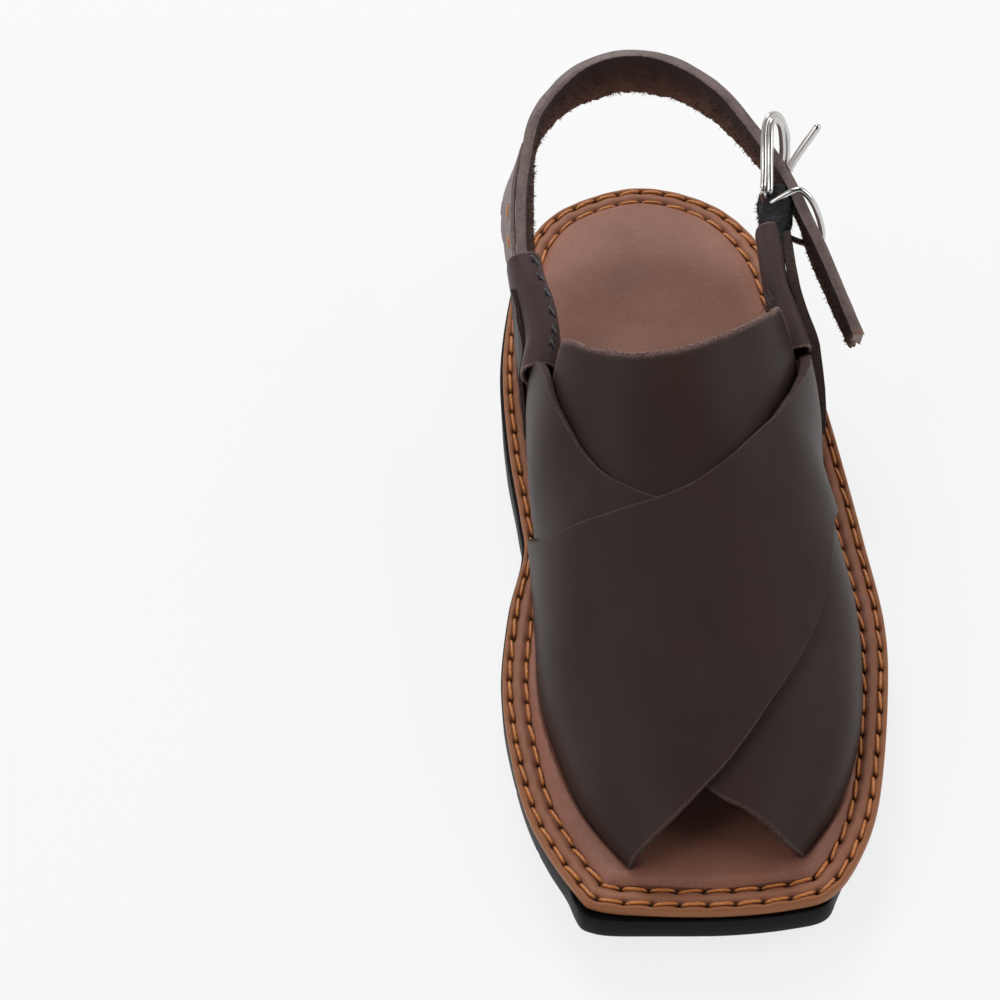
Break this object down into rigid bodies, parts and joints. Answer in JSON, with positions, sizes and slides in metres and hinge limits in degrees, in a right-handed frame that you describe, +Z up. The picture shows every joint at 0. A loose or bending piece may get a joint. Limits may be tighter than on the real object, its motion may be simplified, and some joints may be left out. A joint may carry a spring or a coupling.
{
  "type": "peshawari chappal",
  "caption": "Open-toed leather sandal for the left foot, with crossed panels over the foot, a buckled heel strap and a moulded rubber sole.",
  "frame": {"origin": "on the floor, at the centre of the heel's flat resting face", "axes": "+Z up, toe along -Y, heel end along +Y, +X the outer side of the foot where the buckle is"},
  "size_m": [0.1169, 0.2812, 0.0909],
  "materials": {
    "tread_rubber": "matt moulded black rubber",
    "edge_leather": "smooth mid brown sole leather, edge burnished",
    "footbed_leather": "smooth mid brown leather over a thin soft pad",
    "upper_leather": "smooth dark brown leather, low sheen",
    "black_loop_leather": "black brushed leather",
    "bright_steel": "polished plated steel wire"
  },
  "bodies": {
    "root": {"outsole": "tread_rubber", "midsole": "edge_leather", "insole": "footbed_leather", "upper": "upper_leather", "tongue": "upper_leather", "side_tab_medial": "upper_leather", "side_tab_lateral": "upper_leather", "heel_strap": "upper_leather", "buckle_loop": "black_loop_leather", "buckle_frame": "bright_steel", "buckle_prong": "bright_steel"}
  },
  "joints": []
}
